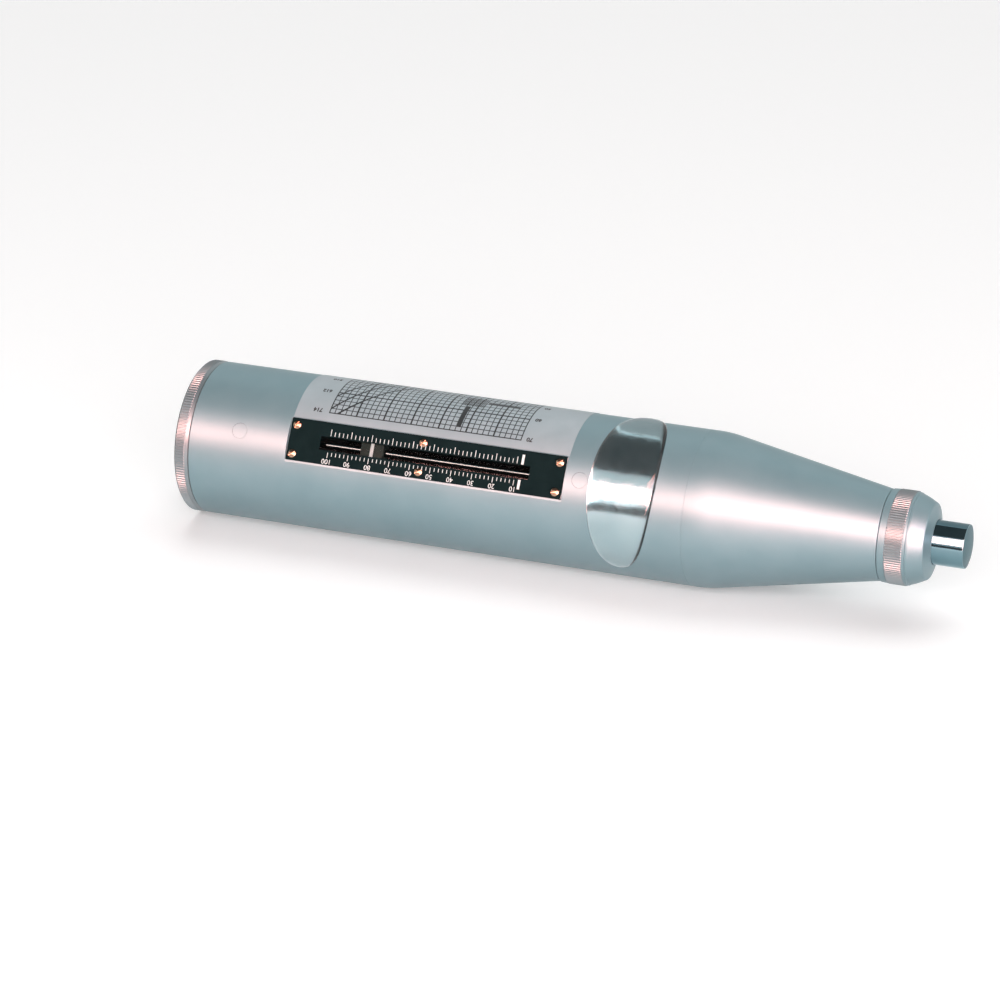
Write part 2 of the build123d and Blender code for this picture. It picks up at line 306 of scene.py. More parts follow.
def fit(piece, name, body, finish, angle=None, smooth=25, stands_for=()):
    """Puts a piece on the hammer with its finish, material slot and body, if it rides on one."""
    turn = outward(angle) if angle is not None else Matrix()
    apply_place(piece, in_place @ turn)
    bpy.ops.object.shade_smooth_by_angle(angle=radians(smooth))
    piece.name = name
    if not piece.data.materials:
        piece.data.materials.append(finish)
    if body:
        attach(piece, body)
    if stands_for:
        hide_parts(*stands_for)
    piece.select_set(False)


# Finishes

def new_finish(name, **settings):
    """An empty finish with one shader, whose own settings are given by name."""
    material = bpy.data.materials.new(name)
    material.use_nodes = True
    tree = material.node_tree
    shader = tree.nodes["Principled BSDF"]
    for key, value in settings.items():
        shader.inputs[key.replace("_", " ")].default_value = value
    return material, tree, shader


def add(tree, kind, **inputs):
    """Adds a node; its inputs are given by name, or as i and a number, as values or outputs."""
    node = tree.nodes.new("ShaderNode" + kind)
    for key, value in inputs.items():
        socket = node.inputs[int(key[1:]) if key[1:].isdigit() else key]
        if isinstance(value, bpy.types.NodeSocket):
            tree.links.new(value, socket)
        else:
            socket.default_value = value
    return node


def feed(tree, shader, **sources):
    """Links outputs to the inputs of a shader, which are given by name."""
    for key, source in sources.items():
        tree.links.new(source, shader.inputs[key.replace("_", " ")])


def calc(tree, operation, first, second=0.0, third=0.0):
    """The result of one sum."""
    node = add(tree, "Math", i0=first, i1=second, i2=third)
    node.operation = operation
    return node.outputs[0]


def colour_between(tree, factor, low, high):
    """A colour that goes from low to high with a factor."""
    node = add(tree, "Mix", Factor=factor)
    node.data_type = "RGBA"
    for socket, value in ((node.inputs[6], low), (node.inputs[7], high)):
        if isinstance(value, bpy.types.NodeSocket):
            tree.links.new(value, socket)
        else:
            socket.default_value = (*value, 1)
    return node.outputs[2]


def stretched(tree, x, y, z):
    """Object coordinates, with the grain packed closer along each axis."""
    place = add(tree, "TexCoord")
    return add(tree, "Mapping", Vector=place.outputs["Object"], Scale=(x, y, z)).outputs["Vector"]


def grain(tree, x, y, z, detail=3.0):
    """Cloudy grain, with so many spots per metre along each axis."""
    place = stretched(tree, x, y, z)
    return add(tree, "TexNoise", Vector=place, Scale=1.0, Detail=detail).outputs["Fac"]


def spread(tree, value, low, high):
    """Stretches the middle of a grain to a range."""
    return add(tree, "MapRange", Value=value, i1=0.3, i2=0.7, i3=low, i4=high).outputs["Result"]


def bump(tree, shader, height, depth):
    """Raises the surface by a height, in metres at full height."""
    node = add(tree, "Bump", Height=height, Distance=depth, Strength=1.0)
    feed(tree, shader, Normal=node.outputs["Normal"])


def worn_metal(name, low, high, rough, grain_size, depth=0.00001, bare=1.0, gloss=0.5):
    """Metal, bare or under a thin oxide skin, with cloudy tone, uneven gloss and a fine grain."""
    material, tree, shader = new_finish(name, Metallic=bare, Specular_IOR_Level=gloss)
    cloud = spread(tree, grain(tree, 60, 60, 60), 0.0, 1.0)
    fine = grain(tree, *grain_size)
    colour = colour_between(tree, cloud, low, high)
    feed(tree, shader, Base_Color=colour, Roughness=spread(tree, fine, *rough))
    bump(tree, shader, fine, depth)
    return material


even_grain = (2500, 2500, 2500)
anodised = worn_metal(
    "satin_anodised", (0.235, 0.36, 0.395), (0.265, 0.39, 0.425), (0.38, 0.42),
    even_grain, depth=0.000004, bare=0.45, gloss=0.1,
)
turned_bright = worn_metal(
    "turned_aluminium", (0.25, 0.31, 0.33), (0.31, 0.37, 0.39), (0.28, 0.36),
    even_grain, depth=0.000002, bare=0.6,
)
polished_steel = worn_metal(
    "polished_steel", (0.13, 0.24, 0.28), (0.17, 0.29, 0.33), (0.05, 0.11),
    (3000, 300, 300), depth=0.000001,
)
ground_steel = worn_metal(
    "ground_steel", (0.36, 0.37, 0.38), (0.46, 0.47, 0.48), (0.18, 0.30), (6000, 400, 400)
)
spring_wire = worn_metal(
    "spring_wire", (0.10, 0.11, 0.12), (0.20, 0.21, 0.22), (0.40, 0.55),
    (2000, 2000, 2000), depth=0.000002,
)
dark_steel = worn_metal(
    "dark_hardened_steel", (0.20, 0.21, 0.23), (0.34, 0.35, 0.37), (0.22, 0.36), (4000, 400, 400)
)
brass = worn_metal(
    "brass", (0.34, 0.23, 0.16), (0.48, 0.34, 0.25), (0.14, 0.24),
    (3000, 3000, 3000), depth=0.000004,
)
rod_steel = worn_metal(
    "polished_rod", (0.10, 0.17, 0.18), (0.14, 0.22, 0.23), (0.06, 0.12),
    (3000, 400, 400), depth=0.000001,
)
bare_edge = worn_metal(
    "bare_plate_edge", (0.60, 0.60, 0.60), (0.75, 0.75, 0.74), (0.25, 0.40), (500, 4000, 4000)
)
silver_foil = worn_metal(
    "silver_foil", (0.32, 0.45, 0.48), (0.39, 0.52, 0.55), (0.10, 0.16), (400, 400, 400)
)
# Painted shade: a near-black finish for the rear cover's chamfered rim, standing in for the shade that
# falls on that edge.
rim_painted_shade = worn_metal(
    "rim_painted_shade", (0.05, 0.055, 0.06), (0.10, 0.10, 0.11), (0.35, 0.50),
    even_grain, depth=0.000002, bare=0.6,
)
# Painted reflection: the plunger's end face is coloured dark teal and made duller, standing in for the
# dark surroundings it reflects.
end_painted_reflection = worn_metal(
    "end_dark_reflection_paint", (0.05, 0.15, 0.18), (0.08, 0.19, 0.22), (0.40, 0.55),
    (600, 3000, 3000), depth=0.000002, bare=0.2,
)


def painted(name, low, high, rough, gloss=0.5):
    """Paint or moulded plastic with faint clouds and an orange-peel skin."""
    material, tree, shader = new_finish(name, Specular_IOR_Level=gloss)
    cloud = spread(tree, grain(tree, 200, 200, 200), 0.0, 1.0)
    fine = grain(tree, 4000, 4000, 4000)
    colour = colour_between(tree, cloud, low, high)
    feed(tree, shader, Base_Color=colour, Roughness=spread(tree, fine, *rough))
    bump(tree, shader, fine, 0.000006)
    return material


black_plate = painted(
    "black_plate", (0.004, 0.015, 0.016), (0.007, 0.020, 0.021), (0.50, 0.60), gloss=0.02
)
white_fill = painted("white_fill", (0.84, 0.84, 0.82), (0.94, 0.94, 0.92), (0.40, 0.55))
rider_paint = painted(
    "rider_grey_green", (0.014, 0.030, 0.026), (0.026, 0.046, 0.040), (0.45, 0.60), gloss=0.1
)
# Painted shade: near black for the bore of the tube and the cut walls below the flat, where only shade
# falls.
bore_painted_shade = painted(
    "bore_painted_shade", (0.004, 0.013, 0.014), (0.007, 0.018, 0.019), (0.50, 0.60), gloss=0.02
)
black_button = painted("black_button", (0.015, 0.015, 0.015), (0.03, 0.03, 0.03), (0.30, 0.45))
black_print = painted("black_print", (0.015, 0.017, 0.018), (0.03, 0.032, 0.033), (0.40, 0.55))


def see_through(material, tree, shader, low, high, rough):
    """Gives a clear material its very faint unevenness."""
    cloud = spread(tree, grain(tree, 80, 80, 80), 0.0, 1.0)
    haze = spread(tree, grain(tree, 900, 900, 900), *rough)
    feed(tree, shader, Base_Color=colour_between(tree, cloud, low, high), Roughness=haze)
    return material


def clear_resin():
    """Clear resin that bends the light."""
    finish = new_finish("dome_clear", Transmission_Weight=1.0, IOR=1.50)
    return see_through(*finish, (0.96, 0.99, 1.0), (1, 1, 1), (0.0, 0.02))


def clear_sheet():
    """Thin clear plastic that lets nearly all light straight through."""
    finish = new_finish("window_clear", Alpha=0.07, Specular_IOR_Level=0.02)
    return see_through(*finish, (0.010, 0.014, 0.014), (0.018, 0.024, 0.024), (0.10, 0.18))


window_clear = clear_sheet()
dome_clear = clear_resin()


def pressed_felt():
    """Grey felt with short tangled fibres."""
    material, tree, shader = new_finish("pressed_felt", Sheen_Weight=0.4)
    fibres = grain(tree, 6000, 1500, 1500, 6.0)
    tangle = spread(tree, fibres, 0.0, 1.0)
    colour = colour_between(tree, tangle, (0.42, 0.40, 0.36), (0.62, 0.60, 0.55))
    feed(tree, shader, Base_Color=colour, Roughness=spread(tree, fibres, 0.8, 1.0))
    bump(tree, shader, fibres, 0.0001)
    return material


felt = pressed_felt()


def printed_label():
    """Satin silver label with a black grid and curves, drawn in its flat millimetre coordinates."""
    material, tree, shader = new_finish("printed_label")
    flat = add(tree, "Attribute")
    flat.attribute_name = "unrolled"
    split = add(tree, "SeparateXYZ", Vector=flat.outputs["Vector"])
    along = calc(tree, "SUBTRACT", split.outputs["X"], grid_x[0])
    up = calc(tree, "SUBTRACT", split.outputs["Y"], grid_low)

    def line(distance, width):
        """Ink where a distance is less than half a line's width."""
        return calc(tree, "LESS_THAN", calc(tree, "ABSOLUTE", distance), width / 2)

    def ruled(value, pitch, width):
        """Lines at every pitch."""
        return line(calc(tree, "WRAP", value, pitch / 2, -pitch / 2), width)

    def within(value, length):
        """One on the grid, and zero outside it."""
        middle = calc(tree, "SUBTRACT", value, length / 2)
        return calc(tree, "LESS_THAN", calc(tree, "ABSOLUTE", middle), length / 2 + 0.12)

    def either(*masks):
        """Ink where any of several has it."""
        ink = masks[0]
        for mask in masks[1:]:
            ink = calc(tree, "MAXIMUM", ink, mask)
        return ink

    def curve(start_x, start_y, slope):
        """A rising curve, a little steeper as it goes."""
        run = calc(tree, "SUBTRACT", along, start_x)
        bend = calc(tree, "MULTIPLY", calc(tree, "MULTIPLY", run, run), curve_bend)
        rise = calc(tree, "MULTIPLY_ADD", run, slope, start_y)
        return line(calc(tree, "SUBTRACT", calc(tree, "ADD", rise, bend), up), curve_line)

    def patch(x0, x1, angle0, angle1):
        """One inside a rectangle between two stations and two directions round the housing."""
        beside = calc(tree, "SUBTRACT", split.outputs["X"], (x0 + x1) / 2)
        above = calc(tree, "SUBTRACT", split.outputs["Y"], ((angle0 + angle1) / 2 - 90) * girth)
        return calc(tree, "MULTIPLY", line(beside, x1 - x0), line(above, (angle1 - angle0) * girth))

    fine = either(*[ruled(way, grid_major / 5, fine_line) for way in (along, up)])
    bold = either(*[ruled(way, grid_major, bold_line) for way in (along, up)])
    curves = either(*[curve(*start) for start in chart_curves])
    hatch = calc(tree, "MULTIPLY", patch(*hatched), ruled(along, 0.5, 0.3))
    bars = either(*[patch(*bar) for bar in chart_bars], hatch)
    inside = calc(
        tree, "MULTIPLY", within(along, grid_x[1] - grid_x[0]), within(up, grid_high - grid_low)
    )
    print_mask = either(calc(tree, "MULTIPLY", fine, 0.92), bold, curves, bars)
    ink = calc(tree, "MULTIPLY", print_mask, inside)
    cloud = spread(tree, grain(tree, 100, 100, 100), 0.0, 1.0)
    foil = colour_between(tree, cloud, (0.38, 0.46, 0.49), (0.43, 0.51, 0.54))
    feed(
        tree,
        shader,
        Base_Color=colour_between(tree, ink, foil, (0.02, 0.028, 0.03)),
        Metallic=calc(tree, "MULTIPLY_ADD", ink, -0.3, 0.3),
        Roughness=spread(tree, grain(tree, 3000, 3000, 3000), 0.42, 0.52),
    )
    return material


# The chart, in millimetres; girth is one degree round the label
girth = label_face * pi / 180
grid_x = (54.0, 123.7)
grid_major = 9.96
fine_line = 0.36
bold_line = 0.58
curve_line = 0.95
grid_low = (54.9 - 90) * girth
grid_high = grid_low + 6 * grid_major
chart_curves = ((3.0, 0.0, 1.0), (0.0, 1.7, 1.2), (0.0, 7.7, 1.3))
curve_bend = 0.004
chart_bars = ((99.9, 101.4, 58.6, 82), (106.3, 117.8, 89.7, 92.3))
hatched = (98.0, 105.5, 83, 97)
label_print = printed_label()


# Housing

def tube_shell():
    """The long tube, cut for the plate, the window, the plugs and the push button."""
    outline = [(5.5, 23.0), (5.5, 26.3), (5.7, tube_radius), (tube_end - 0.08, tube_radius)]
    outline += [(tube_end, 26.44), (tube_end, 23.0)]
    tube = turned([*outline, outline[0]])
    apply_place(tube, outward(window_angle).inverted())
    flat_width = plate_width / 2 + 0.05 - flat_low_edge
    flat_middle = flat_low_edge + flat_width / 2
    flat = block(plate_x[0] - 0.3, plate_x[1] + 0.2, flat_width, flat_height, 28, flat_middle)
    seat = block(pane_x[0] - 0.1, pane_x[1] + 0.1, pane_width + 0.2, pane_height[0] - 0.02, 27)
    slot = block(52.4, 130.1, 6.0, 15, 27)
    plug_hole = plug_radius + 0.07
    holes = [standing([(18, plug_hole), (30, plug_hole)], x) for x in plug_stations]
    cut(tube, flat, seat, slot, *holes)
    apply_place(tube, Matrix.Rotation(pi, 4, "X"))
    cut(tube, standing([(18, bush_radius), (30, bush_radius)], button_x, sides=96))
    apply_place(tube, outward(button_angle))
    # The bore and the cut walls below the flat get the painted shade.
    two_finishes(tube, anodised, bore_painted_shade, lambda face: from_axis(face) < flat_height - 0.02)
    fit(
        tube, "tube_shell", "housing", anodised,
        smooth=12, stands_for=["housing_tube"],
    )


def cone_shell():
    """The tapered front of the housing, rounded where it leaves the tube."""
    slope = (tube_radius - cone_end_radius) / (cone_end - cone_corner)
    taper = asin(slope / sqrt(1 + slope**2))
    reach = corner_round * (1 - cos(taper)) / sin(taper)
    bend = (cone_corner - reach, tube_radius)
    after = (cone_corner + reach * cos(taper), tube_radius - reach * sin(taper))
    outline = [(tube_end, 22.9), (tube_end, 26.44), (tube_end + 0.08, tube_radius)]
    outline += arc(bend, after, corner_round)
    outline += [(cone_end - 0.25, 15.42), (cone_end, 15.25), (cone_end, 12.7), (252.8, 12.7)]
    outline += [(252.8, 11.45), (244.1, 11.45), (244.1, 13.8), (236.0, 15.0), (191.0, 20.6)]
    outline += [(176.0, 20.6), (176.0, 22.9)]
    cone = turned([*outline, outline[0]])
    fit(
        cone, "cone_shell", "housing", anodised,
        smooth=12, stands_for=["nose_cone"],
    )


def raise_ridges(piece, x0, x1, valley, tip, count):
    """Pushes pairs of vertices out between two stations, so that straight ridges stand up."""
    step = pi / (2 * count)

    def on_ridge(vertex):
        x, y, z = vertex.co
        turn = Vector((y, z)).angle_signed(Vector((1, 0))) / step
        return x0 < x < x1 and abs(Vector((y, z)).length - valley) < 0.02 and round(turn) % 4 < 2

    pick(piece, on_ridge)
    bpy.ops.transform.resize(value=(1, tip / valley, tip / valley), center_override=(x0, 0, 0))
    bpy.ops.object.mode_set(mode="OBJECT")


def rear_cap():
    """The knurled rear cover with its recess, and a near-black rim that is painted shade."""
    v = cover_valley
    rim = 0.55
    outline = [(0, 12.0), (0, 25.8), (rim, v - 0.02), (0.56, v), (0.75, v), (3.75, v), (3.99, v)]
    outline += [(4.0, 26.5), (5.1, 26.25), (5.4, 25.9), (5.4, 22.9), (15.5, 22.9), (15.5, 19.0)]
    outline += [(9.5, 19.0), (9.5, 4.05), (3.4, 4.05), (3.4, 12.0)]
    cap = turned([*outline, outline[0]], 4 * cover_ridges)
    raise_ridges(cap, *cover_knurl, v, cover_tip, cover_ridges)

    def on_rim(face):
        return 0 < face.center.x < rim and abs(face.normal.x) < 0.99

    # The chamfered rim faces get the painted shade.
    two_finishes(cap, turned_bright, rim_painted_shade, on_rim)
    fit(cap, "rear_cap", "housing", turned_bright, stands_for=["rear_cover"])


def front_cap():
    """The knurled nose cap with its sloping shoulder and shallow front."""
    v = cap_valley
    shoulder = (262.0, 13.15)
    outline = [(247.72, 12.8), (247.72, 15.4), (247.95, 15.65), (250.15, 15.8), (250.2, v)]
    outline += [(250.45, v), (255.95, v), (256.2, v), (256.25, 15.62), (257.0, 15.55)]
    outline += [(257.15, 15.2), (257.5, 15.2), *arc((257.6, 15.2), shoulder, 25, 8)]
    outline += arc(shoulder, (262.8, 12.25), 1.0, 6)[1:]
    outline += [(263.9, 8.7), (264.1, 8.3), (264.1, 7.7), (263.95, 7.55), (260.4, 7.55)]
    outline += [(260.4, 9.3), (255.0, 9.3), (255.0, 12.8)]
    cap = turned([*outline, outline[0]], 4 * cap_ridges)
    raise_ridges(cap, *cap_knurl, v, cap_tip, cap_ridges)

    def on_knurl(face):
        return cap_knurl[0] < face.center.x < cap_knurl[1] and from_axis(face) > v - 0.1

    two_finishes(cap, anodised, turned_bright, on_knurl)
    fit(cap, "front_cap", "housing", anodised, stands_for=["nose_cap"])


def plunger_bar():
    """The polished plunger with its collar inside and its domed end."""
    outline = [(221.0, 4.55), (182.1, 4.55), (182.1, 8.7), (182.4, 9.0), (185.1, 9.0)]
    outline += [(185.1, plunger_radius), (274.4, plunger_radius), (274.62, 7.42)]
    outline += [(plunger_face, 7.2), *arc((274.72, 7.18), (275.76, 0), tip_sphere)[1:]]
    bar = turned(outline, 192)
    # The domed end face gets the painted reflection.
    two_finishes(bar, polished_steel, end_painted_reflection, lambda face: face.center.x > plunger_face + 0.01)
    fit(
        bar, "plunger_bar", "plunger_set", polished_steel,
        stands_for=["plunger"],
    )


tube_shell()
cone_shell()
rear_cap()
front_cap()
plunger_bar()


# Rear adjustment

def lock_nut():
    """The hexagon nut, chamfered at its corners."""
    bore, corner = 4.05, 7.506
    nut = turned([(0.35, bore), (0.35, corner), (3.35, corner), (3.35, bore), (0.35, bore)], 6)
    chamfer = turned([(0.3, 0.1), (0.3, 6.7), (0.9, 7.7), (3.5, 7.7), (3.5, 0.1)], 96)
    cut(nut, chamfer, operation="INTERSECT")
    cut(nut, turned([(-1, bore), (5, bore)], 96))
    fit(nut, "lock_nut", "housing", ground_steel, stands_for=["trip_locknut"])


def adjusting_screw():
    """The slotted screw that sets where the hammer trips."""
    outline = [(0.6, 0.01), (0.6, 3.7), (0.9, 4.0), (22, 4.0), (23.5, 2.5), (30.7, 2.5)]
    outline += [(31.2, 2.0), (31.2, 0.01)]
    screw = turned(outline, 96)
    cut(screw, block(-0.6, 1.8, 10, -0.55, 0.55))
    fit(
        screw, "adjusting_screw", "housing", ground_steel,
        stands_for=["trip_screw"],
    )


lock_nut()
adjusting_screw()


# Scale plate

def rise(piece, edge):
    """How far an edge runs in the outward direction."""
    low, high = (piece.data.vertices[i].co for i in edge.vertices)
    return abs(high.z - low.z)


def plate():
    """The black scale plate with its slot, screw holes and bare edges."""
    sheet = block(*plate_x, plate_width, flat_height, plate_face)
    pick(sheet, lambda edge: rise(sheet, edge) > 0.3, "EDGE")
    bpy.ops.mesh.bevel(offset=0.5, segments=4, affect="EDGES")
    bpy.ops.object.mode_set(mode="OBJECT")
    slot = block(*slot_x, slot_width, 20, 30)
    recess = [(25.5, screw_recess), (30, screw_recess)]
    holes = [standing(recess, x, side * screw_offset) for x in screw_stations for side in (-1, 1)]
    cut(sheet, slot, *holes)
    ease(sheet, 0.06, 1)

    def on_edge(face):
        across = abs(face.center.y) > plate_width / 2 - 0.03
        at_end = not plate_x[0] + 0.03 < face.center.x < plate_x[1] - 0.03
        return face.normal.z < 0.9 and (across or at_end)

    two_finishes(sheet, black_plate, bare_edge, on_edge)
    fit(
        sheet, "black_scale_plate", "housing", black_plate, window_angle,
        smooth=10, stands_for=["scale_plate"],
    )


def stroke(x, y0, y1, width=mark_width):
    """One stroke of white fill across the plate."""
    place = (x, (y0 + y1) / 2, plate_face - 0.005)
    bpy.ops.mesh.primitive_plane_add(size=1, location=place)
    line = bpy.context.object
    line.scale = (width, abs(y1 - y0), 1)
    bpy.ops.object.mode_set(mode="EDIT")
    bpy.ops.mesh.extrude_region_move(TRANSFORM_OT_translate={"value": (0, 0, mark_depth)})
    bpy.ops.mesh.select_all(action="SELECT")
    bpy.ops.mesh.normals_make_consistent(inside=False)
    bpy.ops.object.mode_set(mode="OBJECT")
    return apply_place(line)


def scale_marks():
    """Two rows of marks, one at every 2 units and a longer one at every 10, and two end bars."""
    first = mark_zero - 100 * mark_pitch
    marks = []
    for short_ends, long_end in (((2.7, 4.2), 5.0), ((-3.0, -4.2), -4.9)):
        marks.append(row(stroke(first, *short_ends), 46, 2 * mark_pitch))
        marks.append(row(stroke(first, short_ends[1], long_end), 10, 10 * mark_pitch))
    bar_x, bar_width = 126.2, 0.9
    marks.append(stroke(bar_x, 2.5, 5.9, bar_width))
    marks.append(stroke(bar_x, -2.7, -6.0, bar_width))
    fit(joined(marks), "scale_marks", "housing", white_fill, window_angle)


def scale_numbers():
    """The numbers under the longer marks of the lower row."""
    numbers = []
    for reading in range(10, 101, 10):
        x = mark_zero - reading * mark_pitch
        numbers.append(number(str(reading), number_height, x, -6.1, plate_face))
    fit(joined(numbers), "scale_numbers", "housing", white_fill, window_angle)


def plate_screws():
    """Six small slotted brass screws."""
    heads = []
    for i, x in enumerate(screw_stations):
        for side in (-1, 1):
            outline = [(23.6, 0.9), (25.45, 0.9), (25.45, screw_head), (25.65, screw_head)]
            outline += arc((25.65, screw_head), (26.15, 0), screw_dome, 12)[1:]
            head = standing(outline, 0)
            cut(head, block(-2, 2, screw_slot, 25.75, 27))
            turn = Matrix.Rotation(radians(50 + 12 * side - 9 * i), 4, "Z")
            apply_place(head, Matrix.Translation((x, side * screw_offset, 0)) @ turn)
            heads.append(head)
    fit(
        joined(heads), "brass_screws", "housing", brass, window_angle,
        stands_for=["scale_plate_screws"],
    )


def window():
    """The clear window under the slot."""
    pane = ease(block(*pane_x, pane_width, *pane_height), 0.1)
    fit(
        pane, "clear_window_pane", "housing", window_clear, window_angle,
        stands_for=["window_pane"],
    )


plate()
scale_marks()
scale_numbers()
plate_screws()
window()


# Rider

def rod():
    """The thin rod that the rider slides on."""
    outline = [(21.7, 1.05), (21.85, rod_radius), (149.05, rod_radius), (149.2, 1.05)]
    bar = apply_place(turned(outline, 48), Matrix.Translation((0, 0, rod_height)))
    fit(
        bar, "rider_guide_rod", "housing", rod_steel, window_angle,
        stands_for=["rider_rod"],
    )


def rider():
    """The rider: a small grey-green block with a bore for the rod."""
    body = block(rider_x - rider_half_length, rider_x + rider_half_length, 5.5, 19.0, 24.25)
    bore = turned([(60, rod_radius + 0.05), (90, rod_radius + 0.05)], 48)
    cut(body, apply_place(bore, Matrix.Translation((0, 0, rod_height))))
    ease(body, 0.25, 3)
    fit(
        body, "rider_body", "rider", rider_paint, window_angle,
        stands_for=["rider_block"],
    )


def index_line():
    """The white line across the rider."""
    line = block(rider_x - index_width / 2, rider_x + index_width / 2, 5.0, 24.2, 24.4)
    fit(
        ease(line, 0.05), "index_line", "rider", white_fill, window_angle,
        stands_for=["rider_index"],
    )


def plugs():
    """Two round plugs, flush with the tube, that hold the rod."""
    pair = []
    for x in plug_stations:
        plug = standing([(19.9, 2.4), (20.1, plug_radius), (28, plug_radius)], x)
        cut(plug, turned([(x - 5, tube_radius), (x + 5, tube_radius)]), operation="INTERSECT")
        pair.append(plug)
    fit(
        joined(pair), "tube_plugs", "housing", anodised, window_angle,
        smooth=12, stands_for=["rod_plugs"],
    )


rod()
rider()
index_line()
plugs()


# Label and badge

def label():
    """The chart label wrapped over the top of the tube."""
    ends = [(angle - 90) * girth for angle in label_angles]
    middle = (sum(label_x) / 2, sum(ends) / 2, 0)
    bpy.ops.mesh.primitive_grid_add(x_subdivisions=4, y_subdivisions=140, size=1, location=middle)
    sheet = bpy.context.object
    sheet.scale = (label_x[1] - label_x[0], ends[1] - ends[0], 1)
    apply_place(sheet)
    pick(sheet, lambda face: True, "FACE")
    bpy.ops.mesh.extrude_region_move(TRANSFORM_OT_translate={"value": (0, 0, -label_thickness)})
    bpy.ops.mesh.select_all(action="SELECT")
    bpy.ops.mesh.normals_make_consistent(inside=False)
    bpy.ops.object.mode_set(mode="OBJECT")
    wrapped(sheet, label_face)
    fit(sheet, "chart_foil", "housing", label_print, 90, stands_for=["chart_label"])


def chart_numbers():
    """The numbers at both ends of the chart's lines."""
    numbers = []
    first_row, row_step, height = 56.5, 20.3, 1.5
    for x, texts in ((49.7, ("714", "612", "510")), (126.6, ("70", "60", "50"))):
        for i, text in enumerate(texts):
            y = (first_row + row_step * i - 90) * girth
            piece = number(text, height, x, y, 0.01, thickness=0.02, weight=0.08)
            numbers.append(wrapped(piece, label_face))
    fit(joined(numbers), "chart_numbers", "housing", black_print, 90)


def badge_blank(height, fullness):
    """A long oval pad with a steep rim, flat underneath, as it is before it is wrapped on the tube."""
    bpy.ops.mesh.primitive_uv_sphere_add(segments=128, ring_count=64, radius=1, location=(0, 0, 0))
    pad = bpy.context.object
    pick(pad, lambda vertex: True)
    bpy.ops.mesh.bisect(plane_co=(0, 0, 0), plane_no=(0, 0, 1), use_fill=True, clear_inner=True)
    bpy.ops.object.mode_set(mode="OBJECT")
    for vertex in pad.data.vertices:
        vertex.co.z = sqrt(max(0, 1 - vertex.co.xy.length ** fullness))
    pad.scale = (badge_half_length, radians(badge_half_angle) * foil_face, height)
    apply_place(pad)
    tilt = Matrix.Rotation(radians(-badge_tilt), 4, "Z")
    return apply_place(pad, Matrix.Translation((badge_x, 0, 0)) @ tilt)


def badge():
    """The oval badge: a bare silver foil under a clear raised dome."""
    foil = wrapped(badge_blank(foil_height, fullness=12), tube_radius + 0.01)
    fit(
        foil, "badge_backing", "housing", silver_foil, badge_angle,
        stands_for=["badge_foil"],
    )
    dome = wrapped(badge_blank(dome_height, fullness=8), tube_radius + 0.02)
    fit(
        dome, "badge_clear_dome", "housing", dome_clear, badge_angle,
        stands_for=["badge_dome"],
    )


label()
chart_numbers()
badge()


# Push button on the far side

def button_parts():
    """The bush in the tube, its collar and the push button."""
    bush = [(23.6, 2.05), (24.4, 2.05), (24.4, 4.3), (28.6, 4.3), (28.6, 5.2), (29.4, 5.2)]
    bush += [(29.4, 6.3), (29.2, bush_radius), (23.6, bush_radius), (23.6, 2.05)]
    fit(
        standing(bush, button_x, sides=96), "turned_bush", "housing",
        turned_bright, button_angle, stands_for=["button_bush"],
    )
    collar = [(28.6, 3.6), (28.6, 5.15), (29.55, 5.15), (29.7, 5.0), (29.7, 3.6), (28.6, 3.6)]
    fit(
        standing(collar, button_x, sides=96), "turned_collar", "housing",
        turned_bright, button_angle, stands_for=["button_collar"],
    )
    button = [(23.2, 2.0), (30.6, 2.0), (30.6, 3.05), (27.5, 3.05), (27.5, 4.2), (28.5, 4.2)]
    button += [(28.5, 3.5), (31.8, 3.5), *arc((31.8, 3.5), (32.4, 2.9), 0.6, 4)[1:], (32.4, 0)]
    fit(
        standing(button, button_x, sides=96), "black_push_button", "button",
        black_button, button_angle, stands_for=["push_button"],
    )


button_parts()


# Springs

def coil_spring(low, high, mean, wire, turns):
    """A coil spring that stands upright between two heights."""
    bpy.ops.mesh.primitive_circle_add(
        vertices=12, radius=wire / 2, location=(mean, 0, low + wire / 2), rotation=(pi / 2, 0, 0)
    )
    spring = apply_place(bpy.context.object)
    wound = spring.modifiers.new("wound", "SCREW")
    wound.screw_offset = (high - low - wire) / turns
    wound.iterations = turns
    wound.steps = wound.render_steps = 32
    bpy.context.view_layer.objects.active = spring
    bpy.ops.object.modifier_apply(modifier="wound")
    bpy.ops.object.mode_set(mode="EDIT")
    bpy.ops.mesh.select_all(action="SELECT")
    bpy.ops.mesh.fill_holes(sides=0)
    bpy.ops.mesh.normals_make_consistent(inside=False)
    bpy.ops.object.mode_set(mode="OBJECT")
    return spring


def along_axis(piece, radius=0.0):
    """Lays an upright piece along the housing, at a height over its axis."""
    return apply_place(piece, Matrix.Translation((0, 0, radius)) @ Matrix.Rotation(pi / 2, 4, "Y"))


def springs():
    """The coil springs of the button, the pawl and the guide disk."""
    seat, top = 24.45, 30.55
    spring = coil_spring(seat, top, 2.55, 0.45, 4)
    apply_place(spring, Matrix.Translation((button_x, 0, 0)))
    fit(
        spring, "button_coil_spring", "housing", spring_wire, button_angle,
        smooth=60, stands_for=["button_spring"],
    )
    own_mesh(spring)

    tail, stop, height = 34.55, 40.45, 6.5
    spring = along_axis(coil_spring(tail, stop, 1.25, 0.45, 4), height)
    fit(
        spring, "pawl_coil_spring", "plunger_set", spring_wire, pawl_angle,
        smooth=60, stands_for=["pawl_spring"],
    )
    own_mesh(spring)

    back, disk = 9.55, 37.95
    spring = along_axis(coil_spring(back, disk, 16.6, 1.6, 6))
    fit(
        spring, "return_coil_spring", None, spring_wire,
        smooth=60, stands_for=["return_spring"],
    )
    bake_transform(spring)


springs()


